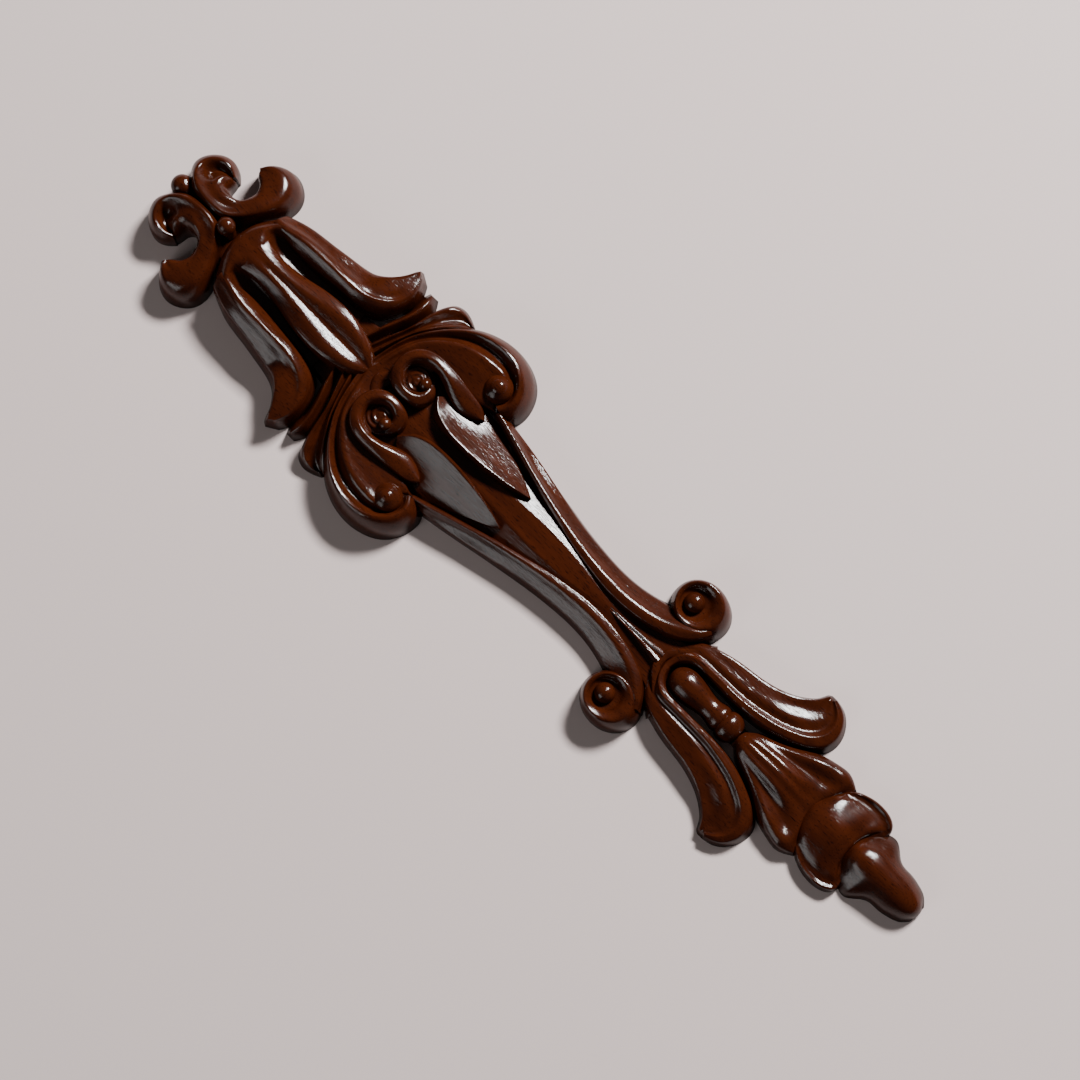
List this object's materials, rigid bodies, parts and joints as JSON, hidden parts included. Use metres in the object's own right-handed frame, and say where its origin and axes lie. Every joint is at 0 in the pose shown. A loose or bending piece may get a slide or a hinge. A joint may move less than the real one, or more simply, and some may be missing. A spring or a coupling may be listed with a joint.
{
  "type": "carved furniture mount",
  "caption": "Flat-backed carved wooden drop with scroll crest, petals, big scrolls, waisted rails, husks and a bud, lacquered dark red-brown.",
  "frame": {"origin": "on the flat glued back, on the centre line, at the waist field of the ground panel", "axes": "+Z out of the carved face, +Y along the drop to the scroll crest, X across, symmetric about X = 0"},
  "size_m": [0.0718, 0.3022, 0.014],
  "materials": {
    "carved_wood": "glossy dark red-brown lacquer",
    "bead_wood": "glossy dark red-brown lacquer, turned beads",
    "ground_wood": "glossy dark red-brown lacquer, flat ground",
    "hidden_wood": "bare wood"
  },
  "bodies": {
    "root": {"backing_strip": "hidden_wood", "bell_centre": "carved_wood", "bell_petal_left": "carved_wood", "bell_petal_right": "carved_wood", "big_scroll_left": "carved_wood", "big_scroll_right": "carved_wood", "bud": "carved_wood", "collar": "carved_wood", "crest_bead_lower": "bead_wood", "crest_bead_top": "bead_wood", "crest_scroll_left": "carved_wood", "crest_scroll_right": "carved_wood", "fan_leaf_left": "carved_wood", "fan_leaf_right": "carved_wood", "fan_rib_left": "carved_wood", "fan_rib_right": "carved_wood", "ground_panel": "ground_wood", "husk_lower": "carved_wood", "husk_upper": "carved_wood", "lower_petal_left": "carved_wood", "lower_petal_right": "carved_wood", "pendant_ball": "bead_wood", "pendant_drop": "carved_wood", "rail_left": "carved_wood", "rail_right": "carved_wood", "saddle": "carved_wood", "scroll_ball_left": "bead_wood", "scroll_ball_right": "bead_wood", "snail_leaf_left": "carved_wood", "snail_leaf_right": "carved_wood", "spear_leaf_left": "carved_wood", "spear_leaf_right": "carved_wood", "stem": "carved_wood", "volute_ball_left": "bead_wood", "volute_ball_right": "bead_wood"}
  },
  "joints": []
}
